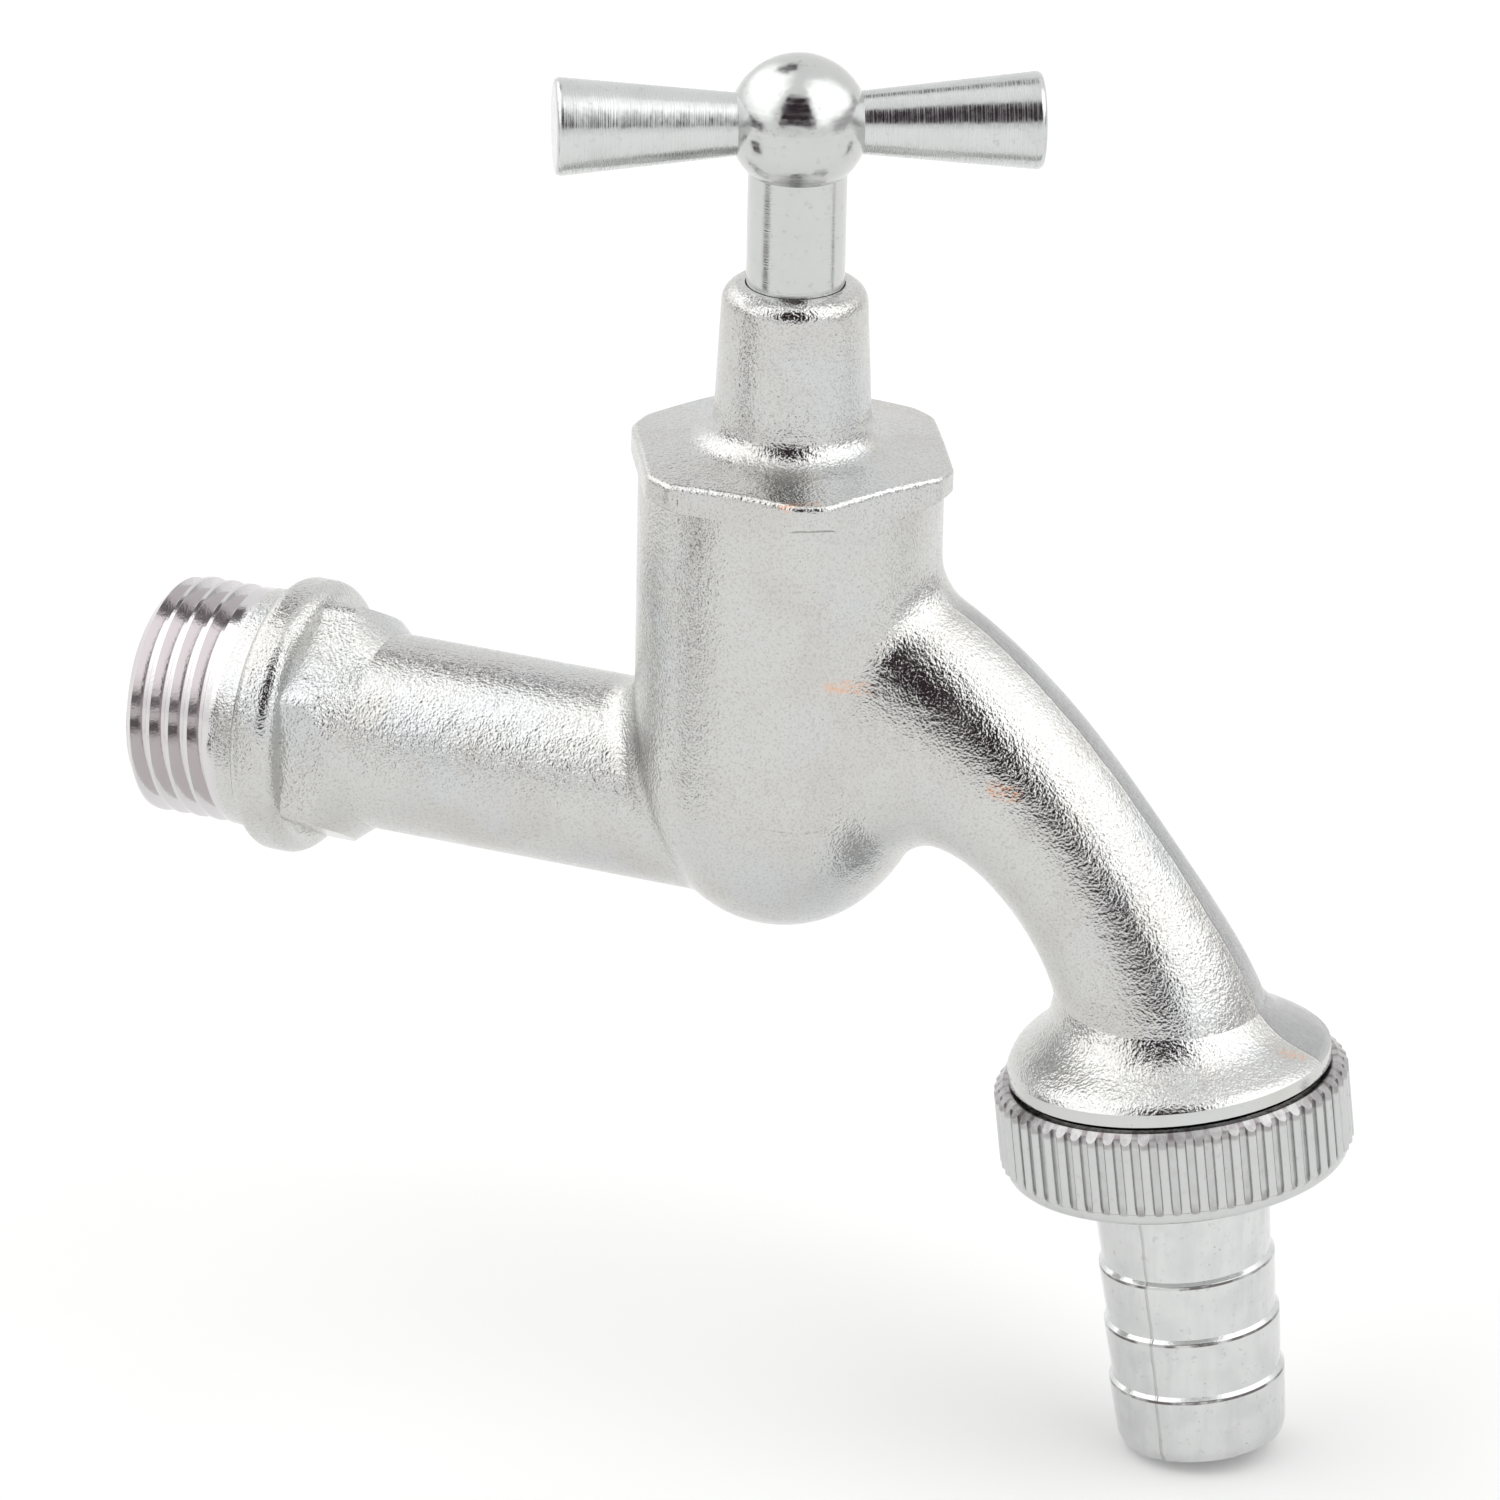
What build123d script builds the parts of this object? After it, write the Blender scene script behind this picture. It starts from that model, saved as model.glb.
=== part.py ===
from build123d import *
import math
import os

# Bib tap with a hose union, in millimetres.
# The origin is the centre of the inlet's end face. +X runs along the inlet towards the
# spout, +Z runs up along the spindle, and the body is symmetric about the plane Y = 0.

# Pipe threads: both have 14 turns to the inch
pipe_pitch = 25.4 / 14
inlet_thread_diameter = 20.955
outlet_thread_diameter = 26.441

# Metric threads of the headwork
bonnet_thread_diameter = 20.0
bonnet_pitch = 1.5
spindle_thread_diameter = 10.0
spindle_pitch = 2.0

# Every thread has the same section: a share of its pitch deep, with flat crest and root
thread_depth_share = 0.6403
thread_flat_share = 1 / 6
thread_clearance = 0.15
flank_clearance_share = 0.05
thread_start_turn = 40.0
thread_overrun_share = 0.7
crest_relief = 0.04
crest_taper = 0.01

# Inlet: thread, shoulder ring, wrench hexagon and pipe
inlet_thread_length = 8.8
inlet_bore_diameter = 13.0
inlet_bore_depth = 36.0
inlet_waterway_diameter = 12.0
thread_end_land = 0.5
thread_end_chamfer = 0.9
inlet_groove_turns = 4.8
inlet_runout_turn = 195.0
ring_diameter = 24.1
ring_width = 4.2
shoulder_length = 2.1
ring_front_radius = 1.2
ring_back_radius = 1.7
wrench_flats = 19.5
wrench_length = 5.7
wrench_fade = 3.4
wrench_edge_radius = 1.9
pipe_diameter = 17.16

# Barrel, which holds the seat and the headwork
valve_distance = 58.26
barrel_diameter = 25.9
barrel_top = 30.7
barrel_wall = 3.0
bowl_bottom = -10.2
bowl_radius = 11.3
bowl_side_radius = 17.1
chamber_diameter = 17.8
seat_height = 9.5
seat_lip_height = 1.0
seat_lip_width = 1.4
seat_bore_diameter = 10.4
web_thickness = 2.6
gasket_recess_depth = 1.5
gasket_recess_wall = 1.5

# Spout, from the barrel down to the outlet
outlet_reach = 33.82
outlet_tilt = 7.2
collar_depth = 17.33
spout_start_height = 11.0
spout_wall = 2.3
waterway_start_diameter = 10.4
waterway_bend_diameter = 11.8
waterway_floor = 1.2
waterway_fall = 2.9
barrel_blend = 3.4
spout_blend = 5.0

# Outlet collar and thread
collar_diameter = 27.6
collar_band = 1.1
collar_flare = 6.2
outlet_neck_diameter = 18.7
outlet_bore_diameter = 16.4
outlet_bore_length = 9.4
outlet_thread_length = 4.2
outlet_chamfer = 0.6

# Headwork bonnet: flange turned round a hexagon, and a tapered neck
flange_diameter = 28.5
flange_flats = 26.0
flange_side = 2.3
flange_rise = 1.1
flange_chamfer = 0.3
flange_corner_radius = 2.0
flange_edge_radius = 0.55
neck_top = 47.7
neck_bottom_diameter = 13.5
neck_top_diameter = 12.2
neck_edge_radius = 1.7
neck_blend = 2.6
bonnet_nose_height = 20.5
bonnet_undercut = 1.2
gasket_width = 1.3
gasket_play = 0.05

# Spindle and its two seal rings
stem_diameter = 8.3
stem_clearance = 0.08
valve_lift = 4.5
spindle_thread_length = 14.0
spindle_relief_clearance = 0.3
spindle_end_gap = 0.1
spindle_end_play = 1.2
seal_first_height = 38.1
seal_spacing = 2.9
seal_width = 1.5
seal_depth = 1.2
seal_clearance = 0.03
seal_groove_play = 0.15

# Jumper, washer and its screw
washer_diameter = 14.0
washer_thickness = 3.0
jumper_plate = 2.5
jumper_lip = 0.7
jumper_lip_depth = 1.6
jumper_stem_diameter = 4.0
jumper_stem_length = 9.0
jumper_clearance = 0.1
jumper_ring_height = 3.0
jumper_ring_width = 0.8
jumper_ring_bite = 0.45
jumper_ring_gap = 1.2
screw_diameter = 3.0
screw_length = 5.2
screw_head_diameter = 6.0
screw_head_height = 1.5
screw_slot_width = 0.8
screw_slot_depth = 0.7
screw_clearance = 0.05

# Tee handle: a ball on the spindle and two tapered bars
ball_diameter = 11.8
ball_height = 61.75
tenon_diameter = 5.0
tenon_flats = 4.2
tenon_length = 4.6
bar_length = 15.1
bar_root_diameter = 5.3
bar_end_diameter = 8.3
bar_end_edge = 0.5
spigot_diameter = 3.5
spigot_clearance = 0.05
handle_heading = 28.5

# Hose union: fluted nut, hose tail and flat washer
nut_diameter = 30.2
nut_gap = 0.35
nut_floor = 1.6
nut_mouth_turns = 1.0
nut_edge = 0.7
nut_band = 1.1
flute_count = 60
flute_depth = 0.45
flute_share = 0.62
tail_flange_diameter = 23.4
tail_flange_thickness = 1.4
tail_neck_diameter = 15.7
tail_clearance = 0.35
tail_bore_diameter = 10.8
tail_mouth_diameter = 12.6
tail_mouth_depth = 2.4
tail_length = 25.45
barb_diameter = 15.1
barb_root_diameter = 14.5
barb_pitch = 5.35
barb_count = 3
barb_step = 0.3
barb_land = 0.5
tail_end_diameter = 13.9
tail_end_length = 0.9
hose_washer_thickness = 1.5
hose_washer_bore = 14.4

# Places that follow from the sizes above
inlet_ring_end = inlet_thread_length + shoulder_length + ring_width
wrench_end = inlet_ring_end + wrench_length
lower_chamber_top = seat_height - seat_lip_height - web_thickness
female_thread_top = barrel_top - gasket_recess_depth + thread_overrun_share * bonnet_pitch
web_top = seat_height - seat_lip_height
washer_bottom = seat_height
washer_top = washer_bottom + washer_thickness
jumper_top = washer_top + jumper_plate
spindle_bottom = jumper_top + spindle_end_gap
spindle_thread_top = spindle_bottom + spindle_thread_length
relief_top = spindle_thread_top + valve_lift + spindle_end_play
ball_seat = ball_height - math.sqrt(ball_diameter**2 - stem_diameter**2) / 2
bar_start = math.sqrt(ball_diameter**2 - bar_root_diameter**2) / 2
tilt = math.radians(outlet_tilt)
outlet_x = valve_distance + outlet_reach
collar_x = outlet_x + collar_depth * math.sin(tilt)
collar_z = -collar_depth * math.cos(tilt)
outlet_end = collar_depth + outlet_thread_length
nut_top = collar_depth + nut_gap
nut_bottom = outlet_end + hose_washer_thickness + tail_flange_thickness + nut_floor
tail_end = nut_bottom + tail_length
spigot_start = tenon_flats / 2 + spigot_clearance
bonnet_thread_top = spindle_thread_top - spindle_pitch
thread_phase = (spindle_bottom - bonnet_nose_height + spindle_pitch) % spindle_pitch
nut_thread_start = collar_depth
nut_mouth_bottom = collar_depth + nut_mouth_turns * pipe_pitch
nut_travel = outlet_end - nut_mouth_bottom

# Frames that the pieces are drawn in: +Z of each is the piece's own axis
inlet_frame = Plane(origin=(0, 0, 0), x_dir=(0, 0, 1), z_dir=(1, 0, 0))
valve_frame = Plane(origin=(valve_distance, 0, 0), x_dir=(1, 0, 0), z_dir=(0, 0, 1))
outlet_frame = Plane(
    origin=(outlet_x, 0, 0),
    x_dir=(math.cos(tilt), 0, math.sin(tilt)),
    z_dir=(math.sin(tilt), 0, -math.cos(tilt)),
)
heading = math.radians(handle_heading)
handle_frame = Plane(
    origin=(valve_distance, 0, ball_height),
    x_dir=(0, 0, 1),
    z_dir=(math.cos(heading), math.sin(heading), 0),
)


def turned(outline):
    """Solid of revolution about Z from a closed outline drawn as (radius, height)."""
    return revolve(Plane.XZ * make_face(outline), Axis.Z)


def turned_points(points):
    """The same from corners alone. A third number rounds its corner."""
    corners = [point[2] if len(point) > 2 else 0 for point in points]
    flat = [point[:2] for point in points]
    if any(corners):
        return turned(FilletPolyline(*flat, radius=corners, close=True))
    return turned(Polyline(*flat, close=True))


def disc(diameter, bottom, top):
    """Plain cylinder on Z between two heights."""
    return Pos(0, 0, bottom) * Cylinder(
        diameter / 2, top - bottom, align=(Align.CENTER, Align.CENTER, Align.MIN)
    )


def tube(outer, inner, bottom, top):
    """Ring of rectangular section on Z."""
    return disc(outer, bottom, top) - disc(inner, bottom - 1, top + 1)


def depth_of(pitch):
    return pitch * thread_depth_share


def groove(inner_radius, outer_radius, inner_half, outer_half, pitch, bottom, top):
    """Helical cutter of trapezoidal section, right-handed, about Z."""
    path = Helix(pitch=pitch, height=top - bottom, radius=inner_radius, center=(0, 0, bottom))
    across = outer_radius - inner_radius
    section_plane = Plane(origin=path @ 0, x_dir=(1, 0, 0), z_dir=path % 0)
    section = section_plane * make_face(
        Polyline((0, -inner_half), (across, -outer_half), (across, outer_half), (0, inner_half), close=True)
    )
    return Rot(0, 0, thread_start_turn) * sweep(section, path=path, is_frenet=True)


def external_groove(diameter, pitch, bottom, top):
    """Cutter for a male thread. It opens a little past the crest."""
    root_half = pitch * thread_flat_share / 2
    open_half = pitch / 2 - root_half
    slope = (open_half - root_half) / depth_of(pitch)
    past = pitch * 0.1
    root = diameter / 2 - depth_of(pitch)
    return groove(
        root, diameter / 2 + past, root_half, open_half + slope * past, pitch, bottom, top
    )


def internal_groove(diameter, pitch, bottom, top):
    """Cutter for a female thread that clears the male thread of the same sizes and start."""
    flank_clearance = pitch * flank_clearance_share
    root_half = pitch * thread_flat_share / 2 + flank_clearance
    open_half = pitch / 2 - pitch * thread_flat_share / 2 + flank_clearance
    slope = (open_half - root_half) / depth_of(pitch)
    past = pitch * 0.05
    root = diameter / 2 + thread_clearance
    opening = root - depth_of(pitch)
    return groove(
        opening - past, root, open_half + slope * past, root_half, pitch, bottom, top
    )


def minor_diameter(diameter, pitch):
    """Bore of a female thread."""
    return diameter - 2 * depth_of(pitch) + 2 * thread_clearance


def thread_bore(diameter, pitch, bottom, top):
    """Bore for a female thread. It tapers a little, as the male blanks do."""
    radius = minor_diameter(diameter, pitch) / 2
    return turned_points([(0, bottom), (radius + crest_taper, bottom), (radius, top), (0, top)])


def inlet_outside():
    """Thread blank, shoulder ring, wrench hexagon and pipe, about Z, before they join the barrel."""
    crest = inlet_thread_diameter / 2
    land = thread_end_chamfer + thread_end_land
    shank = inlet_thread_length - thread_end_land
    ring = ring_diameter / 2
    pipe = pipe_diameter / 2
    front = ring_front_radius
    back = ring_back_radius
    ring_start = inlet_thread_length + shoulder_length
    groove_end = shank - pipe_pitch / 2 + pipe_pitch * thread_flat_share / 2
    blank = turned_points([
        (0, 0),
        (crest - thread_end_chamfer, 0),
        (crest, thread_end_chamfer),
        (crest, land),
        (crest - crest_relief, land),
        (crest - crest_relief - crest_taper, shank),
        (crest, shank),
        (crest, inlet_thread_length),
        (0, inlet_thread_length),
    ])
    thread = blank - external_groove(
        inlet_thread_diameter, pipe_pitch, groove_end - inlet_groove_turns * pipe_pitch, groove_end
    )
    ring_part = turned(
        Polyline((0, inlet_thread_length), (crest, inlet_thread_length), (ring - front, ring_start))
        + RadiusArc((ring - front, ring_start), (ring, ring_start + front), -front)
        + Line((ring, ring_start + front), (ring, inlet_ring_end - back))
        + RadiusArc((ring, inlet_ring_end - back), (ring - back, inlet_ring_end), -back)
        + Polyline((ring - back, inlet_ring_end), (0, inlet_ring_end), (0, inlet_thread_length))
    )
    hexagon = extrude(
        Pos(0, 0, inlet_ring_end - back) * RegularPolygon(wrench_flats / 2, 6, major_radius=False),
        wrench_end - inlet_ring_end + back,
    )
    hexagon = fillet(hexagon.edges().filter_by(Axis.Z), wrench_edge_radius)
    corner = wrench_flats / 2 / math.cos(math.radians(30))
    fade = turned_points([
        (0, inlet_ring_end - back),
        (corner, inlet_ring_end - back),
        (corner, wrench_end - wrench_fade),
        (pipe, wrench_end),
        (0, wrench_end),
    ])
    return Rot(0, 0, inlet_runout_turn) * thread + ring_part + (hexagon & fade)


def bowled(inset, top):
    """Straight barrel on a rounded bowl, drawn in from the outside by an inset."""
    radius = barrel_diameter / 2 - inset
    round_centre = bowl_bottom + bowl_radius
    side_offset = bowl_side_radius - barrel_diameter / 2
    side_rise = math.sqrt((bowl_side_radius - bowl_radius) ** 2 - side_offset**2)
    side_centre = round_centre + side_rise
    meeting = math.degrees(math.atan2(side_offset, side_rise))
    bottom = CenterArc((0, round_centre), bowl_radius - inset, 270, meeting)
    side = CenterArc((-side_offset, side_centre), bowl_side_radius - inset, 270 + meeting, 90 - meeting)
    rest = Polyline((radius, side_centre), (radius, top), (0, top), (0, bowl_bottom + inset))
    return turned(bottom + side + rest)


def barrel_outside():
    return valve_frame * bowled(0, barrel_top)


def barrel_inside():
    """Lower chamber, seat bore, upper chamber and gasket recess, without the thread."""
    lip = seat_bore_diameter + 2 * seat_lip_width
    upper = disc(chamber_diameter, web_top, barrel_top)
    seat_lip = tube(lip, seat_bore_diameter, web_top - 1, seat_height)
    recess = disc(barrel_diameter - 2 * gasket_recess_wall, barrel_top - gasket_recess_depth, barrel_top + 1)
    bore = disc(seat_bore_diameter, lower_chamber_top - 1, seat_height + 1)
    headwork_bore = thread_bore(bonnet_thread_diameter, bonnet_pitch, bonnet_nose_height, barrel_top)
    thread = internal_groove(
        bonnet_thread_diameter, bonnet_pitch, bonnet_nose_height - bonnet_pitch / 2, female_thread_top
    )
    lower = bowled(barrel_wall, lower_chamber_top)
    space = lower + (upper - seat_lip) + recess + bore + headwork_bore + thread
    return valve_frame * space


def spout_stations():
    """Sections down the spout: centre x and z, tilt of the section and its two radii."""
    run = collar_x - valve_distance
    drop = spout_start_height - collar_z
    neck = outlet_neck_diameter / 2
    shape = [
        (0.200, -0.010, 84.0, 11.6, 9.0),
        (0.405, 0.041, 79.0, 10.5, 8.7),
        (0.530, 0.122, 66.0, 8.8, 8.3),
        (0.666, 0.257, 49.5, 7.6, 7.8),
        (0.803, 0.453, 38.0, 7.3, 7.6),
        (0.895, 0.622, 29.5, 7.7, 8.0),
        (0.958, 0.790, 17.0, 8.7, 8.8),
        (0.976, 0.885, 10.0, neck, neck),
    ]
    return [
        (valve_distance + along * run, spout_start_height - down * drop, angle, tall, wide)
        for along, down, angle, tall, wide in shape
    ]


def spout_section(x, z, angle, tall, wide):
    """Ellipse across the spout. The angle is measured from straight down."""
    turn = math.radians(angle)
    across = Plane(
        origin=(x, 0, z),
        x_dir=(math.cos(turn), 0, math.sin(turn)),
        z_dir=(math.sin(turn), 0, -math.cos(turn)),
    )
    return across * Ellipse(tall, wide)


def spout_outside():
    sections = [spout_section(*station) for station in spout_stations()]
    return loft(sections)


def spout_inside():
    """Waterway down the spout. It starts in the upper chamber, clear of the web."""
    run = collar_x - valve_distance
    start = waterway_start_diameter / 2
    bend = waterway_bend_diameter / 2
    start_z = web_top + waterway_floor + start
    first = (valve_distance + 0.14 * run, start_z, 80.0, start, start)
    second = (valve_distance + 0.36 * run, start_z - waterway_fall, 72.0, bend, bend)
    rest = [
        (x, z, angle, tall - spout_wall, wide - spout_wall)
        for x, z, angle, tall, wide in spout_stations()[2:]
    ]
    sections = [spout_section(*station) for station in [first, second] + rest]
    return loft(sections)


def outlet_outside():
    """Flared collar and the thread that the union nut screws on, about Z.

    The flare grows out of the spout's surface, so it leans towards the inlet as the spout does.
    """
    crest = outlet_thread_diameter / 2
    band_start = collar_depth - collar_band
    shape = [
        (1.00, -1.10, 16.4),
        (0.79, -0.85, 17.7),
        (0.61, -0.70, 19.1),
        (0.40, -0.80, 21.6),
        (0.17, -0.50, 25.5),
        (0.00, 0.00, collar_diameter),
    ]
    flare = loft([
        Pos(lean, 0, band_start - share * collar_flare) * Circle(diameter / 2)
        for share, lean, diameter in shape
    ])
    band = disc(collar_diameter, band_start, collar_depth)
    blank = turned_points([
        (0, collar_depth - 1),
        (crest - crest_relief, collar_depth - 1),
        (crest - crest_relief - crest_taper, outlet_end - outlet_chamfer),
        (crest - outlet_chamfer, outlet_end),
        (0, outlet_end),
    ])
    thread = blank - external_groove(
        outlet_thread_diameter, pipe_pitch, collar_depth + pipe_pitch / 2, outlet_end + pipe_pitch
    )
    return flare + band + thread


def body():
    pipe_end = valve_distance
    pipe = inlet_frame * disc(pipe_diameter, wrench_end - 1, pipe_end)
    barrel = barrel_outside()
    spout = spout_outside()
    joined = barrel + pipe
    joined = fillet(new_edges(barrel, pipe, combined=joined), barrel_blend)
    whole = joined + spout
    whole = fillet(new_edges(joined, spout, combined=whole), spout_blend)
    whole = whole + inlet_frame * inlet_outside() + outlet_frame * outlet_outside()
    inlet_bore = inlet_frame * disc(inlet_bore_diameter, -1, inlet_bore_depth)
    inlet_waterway = inlet_frame * disc(inlet_waterway_diameter, inlet_bore_depth - 1, valve_distance)
    outlet_bore = outlet_frame * disc(outlet_bore_diameter, outlet_end - outlet_bore_length, outlet_end + 1)
    return whole - inlet_bore - inlet_waterway - outlet_bore - spout_inside() - barrel_inside()


def bonnet():
    """Headwork casting: nose, thread, turned hexagon flange and tapered neck."""
    crest = bonnet_thread_diameter / 2
    rim = flange_diameter / 2
    flange_top = barrel_top + flange_side
    slope_top = flange_top + flange_rise
    foot = neck_bottom_diameter / 2
    head = neck_top_diameter / 2
    chamfer = flange_chamfer
    outside = turned_points([
        (0, bonnet_nose_height),
        (crest - bonnet_undercut, bonnet_nose_height),
        (crest - crest_relief, bonnet_nose_height + bonnet_undercut),
        (crest - crest_relief - crest_taper, barrel_top),
        (rim - chamfer, barrel_top),
        (rim, barrel_top + chamfer),
        (rim, flange_top),
        (foot, slope_top, neck_blend),
        (head, neck_top, neck_edge_radius),
        (0, neck_top),
    ])
    plan = Circle(rim) & RegularPolygon(flange_flats / 2, 6, major_radius=False)
    plan = fillet(plan.vertices(), flange_corner_radius)
    flats = extrude(Pos(0, 0, barrel_top) * plan, slope_top - barrel_top)
    waste = tube(flange_diameter + 4, bonnet_thread_diameter + 1, barrel_top, slope_top) - flats
    outside = outside - waste
    top_rim = [
        edge
        for edge in outside.edges()
        if edge.center().Z > flange_top - flange_chamfer
        and math.hypot(edge.center().X, edge.center().Y) > flange_flats / 2 - 1
    ]
    outside = fillet(top_rim, flange_edge_radius)
    thread = external_groove(
        bonnet_thread_diameter, bonnet_pitch, bonnet_nose_height, female_thread_top
    )
    relief = disc(
        spindle_thread_diameter + 2 * spindle_relief_clearance, bonnet_nose_height - 1, relief_top
    )
    engaged = disc(
        spindle_thread_diameter + 2 * spindle_relief_clearance, bonnet_nose_height, bonnet_thread_top
    ) - thread_bore(spindle_thread_diameter, spindle_pitch, bonnet_nose_height - 1, bonnet_thread_top + 1)
    screw = internal_groove(
        spindle_thread_diameter,
        spindle_pitch,
        bonnet_nose_height - spindle_pitch * 1.5 + thread_phase,
        bonnet_thread_top + spindle_pitch,
    )
    stem_bore = disc(stem_diameter + 2 * stem_clearance, relief_top - 1, neck_top + 1)
    return valve_frame * (outside - thread - (relief - engaged) - screw - stem_bore)


def bonnet_gasket():
    outer = barrel_diameter - 2 * gasket_recess_wall - 2 * gasket_play
    ring = tube(outer, outer - 2 * gasket_width, barrel_top - gasket_recess_depth, barrel_top)
    return valve_frame * ring


def seal_height(index):
    return seal_first_height + index * seal_spacing


def spindle():
    """Stem with two seal grooves, lifting thread, jumper bore and the tenon for the ball."""
    stem = stem_diameter / 2
    crest = spindle_thread_diameter / 2
    solid = turned_points([
        (0, spindle_bottom),
        (crest - depth_of(spindle_pitch), spindle_bottom),
        (crest - crest_relief, spindle_bottom + depth_of(spindle_pitch)),
        (crest - crest_relief - crest_taper, spindle_thread_top - (crest - stem)),
        (stem, spindle_thread_top),
        (stem, ball_seat),
        (tenon_diameter / 2, ball_seat),
        (tenon_diameter / 2, ball_seat + tenon_length),
        (0, ball_seat + tenon_length),
    ])
    thread = external_groove(
        spindle_thread_diameter,
        spindle_pitch,
        spindle_bottom - spindle_pitch,
        spindle_thread_top - spindle_pitch / 2,
    )
    for index in range(2):
        low = seal_height(index) - seal_groove_play
        high = seal_height(index) + seal_width + seal_groove_play
        solid -= tube(stem_diameter + 2, stem_diameter - 2 * seal_depth, low, high)
    jumper_bore = disc(
        jumper_stem_diameter + 2 * jumper_clearance,
        spindle_bottom - 1,
        spindle_bottom + jumper_stem_length + 2 * spindle_end_gap,
    )
    ring_groove = disc(
        jumper_stem_diameter + 2 * jumper_ring_bite + 2 * jumper_clearance,
        spindle_bottom + jumper_ring_height - jumper_clearance,
        spindle_bottom + jumper_ring_height + jumper_ring_width + jumper_clearance,
    )
    flat_cut = Pos(0, 0, ball_seat + tenon_length / 2) * (
        Box(2 * stem_diameter, 2 * stem_diameter, tenon_length)
        - Box(tenon_flats, 2 * stem_diameter, tenon_length)
    )
    turn = Rot(0, 0, handle_heading)
    return valve_frame * (solid - thread - jumper_bore - ring_groove - turn * flat_cut)


def spindle_seal(index):
    """Seal ring as squeezed between its groove and the bonnet's bore."""
    outer = stem_diameter / 2 + stem_clearance - seal_clearance
    inner = stem_diameter / 2 - seal_depth + seal_clearance
    low = seal_height(index)
    corner = seal_width / 4
    ring = turned_points([
        (inner, low, corner),
        (outer, low, corner),
        (outer, low + seal_width, corner),
        (inner, low + seal_width, corner),
    ])
    return valve_frame * ring


def jumper():
    """Plate that carries the washer, on a stem that hangs in the spindle."""
    plate = washer_diameter / 2 + jumper_lip
    stem = jumper_stem_diameter / 2
    stem_top = jumper_top + jumper_stem_length
    solid = turned_points([
        (0, washer_top - jumper_lip_depth),
        (plate, washer_top - jumper_lip_depth, 0.2),
        (plate, jumper_top, 0.4),
        (stem, jumper_top),
        (stem, stem_top, 0.4),
        (0, stem_top),
    ])
    cup = disc(washer_diameter + 2 * screw_clearance, washer_bottom - 1, washer_top)
    screw_hole = disc(
        screw_diameter + 2 * screw_clearance,
        washer_bottom,
        washer_bottom + screw_length + 2 * screw_clearance,
    )
    ring_low = spindle_bottom + jumper_ring_height
    ring_groove = tube(
        jumper_stem_diameter + 2,
        jumper_stem_diameter - 2 * jumper_ring_bite,
        ring_low - jumper_clearance,
        ring_low + jumper_ring_width + jumper_clearance,
    )
    return valve_frame * (solid - cup - screw_hole - ring_groove)


def jumper_ring():
    """Split wire ring that holds the jumper's stem in the spindle."""
    low = spindle_bottom + jumper_ring_height
    ring = tube(
        jumper_stem_diameter + 2 * jumper_ring_bite,
        jumper_stem_diameter - 2 * jumper_ring_bite + 2 * jumper_clearance,
        low,
        low + jumper_ring_width,
    )
    gap = Pos(jumper_stem_diameter / 2, 0, low + jumper_ring_width / 2) * Box(
        jumper_stem_diameter, jumper_ring_gap, 2 * jumper_ring_width
    )
    return valve_frame * (ring - gap)


def valve_washer():
    ring = tube(washer_diameter, screw_diameter + 2 * screw_clearance, washer_bottom, washer_top)
    return valve_frame * ring


def washer_screw():
    """Slotted cheese-head screw under the washer."""
    head = screw_head_diameter / 2
    shank = screw_diameter / 2
    head_bottom = washer_bottom - screw_head_height
    solid = turned_points([
        (0, head_bottom),
        (head, head_bottom, 0.3),
        (head, washer_bottom),
        (shank, washer_bottom),
        (shank, washer_bottom + screw_length, 0.3),
        (0, washer_bottom + screw_length),
    ])
    slot = Pos(0, 0, head_bottom + screw_slot_depth / 2) * Box(
        2 * head, screw_slot_width, screw_slot_depth
    )
    return valve_frame * (solid - slot)


def handle_ball():
    """Ball with a blind bore for the tenon and a spot-faced hole for each bar."""
    ball = Sphere(ball_diameter / 2)
    seat = Pos(0, 0, ball_seat - ball_height)
    below = seat * Box(
        ball_diameter, ball_diameter, ball_diameter, align=(Align.CENTER, Align.CENTER, Align.MAX)
    )
    bore = seat * disc(tenon_diameter + 2 * spigot_clearance, -1, tenon_length + spigot_clearance)
    bore &= Rot(0, 0, handle_heading) * Box(
        tenon_flats + 2 * spigot_clearance, ball_diameter, 2 * ball_diameter
    )
    upright = valve_frame * Pos(0, 0, ball_height) * (ball - below - bore)
    hole = disc(spigot_diameter + 2 * spigot_clearance, spigot_start - spigot_clearance, bar_start + 1)
    face = disc(ball_diameter, bar_start, bar_start + ball_diameter)
    for side in (0, 180):
        turn = Rot(0, side, 0)
        upright -= handle_frame * turn * (hole + face)
    return upright


def handle_bar(side):
    """Tapered bar with its spigot. Side 0 points along the heading, 180 against it."""
    end = bar_end_diameter / 2
    root = bar_root_diameter / 2
    spigot = spigot_diameter / 2
    tip = bar_start + bar_length
    bar = turned_points([
        (0, spigot_start),
        (spigot, spigot_start),
        (spigot, bar_start),
        (root, bar_start),
        (end, tip, bar_end_edge),
        (0, tip),
    ])
    return handle_frame * Rot(0, side, 0) * bar


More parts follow.
